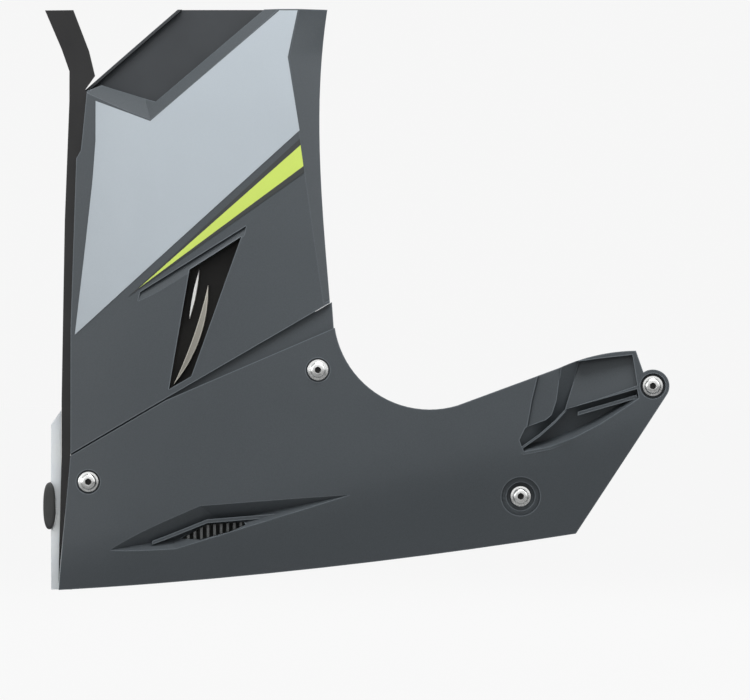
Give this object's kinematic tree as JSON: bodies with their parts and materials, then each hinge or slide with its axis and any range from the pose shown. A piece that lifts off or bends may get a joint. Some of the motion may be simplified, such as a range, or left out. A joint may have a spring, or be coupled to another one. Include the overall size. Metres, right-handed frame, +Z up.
{
  "type": "motorcycle lower fairing",
  "caption": "Left-hand motorcycle lower fairing: a flat moulded shell with an engine notch, a vent slot, a scoop, a stepped rear recess and screw mounts.",
  "frame": {"origin": "on the axis of the rear screw, where its free end leaves the fairing towards the motorcycle", "axes": "+X towards the rear of the motorcycle, +Y inboard, +Z up; the painted face looks towards -Y"},
  "size_m": [0.5335, 0.0793, 0.495],
  "materials": {
    "charcoal": "satin",
    "channel_black": "matt",
    "gloss_black": "gloss",
    "pale_plastic": "satin",
    "rubber": "matt",
    "silver_film": "metallic",
    "accent_film": "satin",
    "dark_film": "satin",
    "foil": "foil",
    "screw_steel": "polished",
    "small_steel": "zinc plated",
    "vane_grey": "gloss"
  },
  "bodies": {
    "root": {"accent_stripe": "accent_film", "air_channel_panel": "channel_black", "channel_screw_1": "small_steel", "channel_screw_2": "small_steel", "duct_screw_1": "small_steel", "duct_screw_2": "small_steel", "front_clip_nut": "small_steel", "front_inner_panel": "gloss_black", "front_lip": "pale_plastic", "front_screw": "screw_steel", "grille_screw_1": "small_steel", "grille_screw_2": "small_steel", "heat_shield": "foil", "lip_bumper": "rubber", "lower_collar": "small_steel", "lower_cowl": "charcoal", "lower_grommet": "rubber", "lower_screw": "screw_steel", "middle_collar": "small_steel", "middle_grommet": "rubber", "middle_screw": "screw_steel", "rear_collar": "small_steel", "rear_grommet": "rubber", "rear_screw": "screw_steel", "scoop_grille": "channel_black", "seam_screw_1": "small_steel", "seam_screw_2": "small_steel", "seam_screw_3": "small_steel", "side_panel": "charcoal", "silver_field": "silver_film", "strip_screw_1": "small_steel", "strip_screw_2": "small_steel", "strip_screw_3": "small_steel", "stripe_border": "dark_film", "vent_duct": "gloss_black", "vent_vane_1": "vane_grey", "vent_vane_2": "vane_grey"}
  },
  "joints": []
}
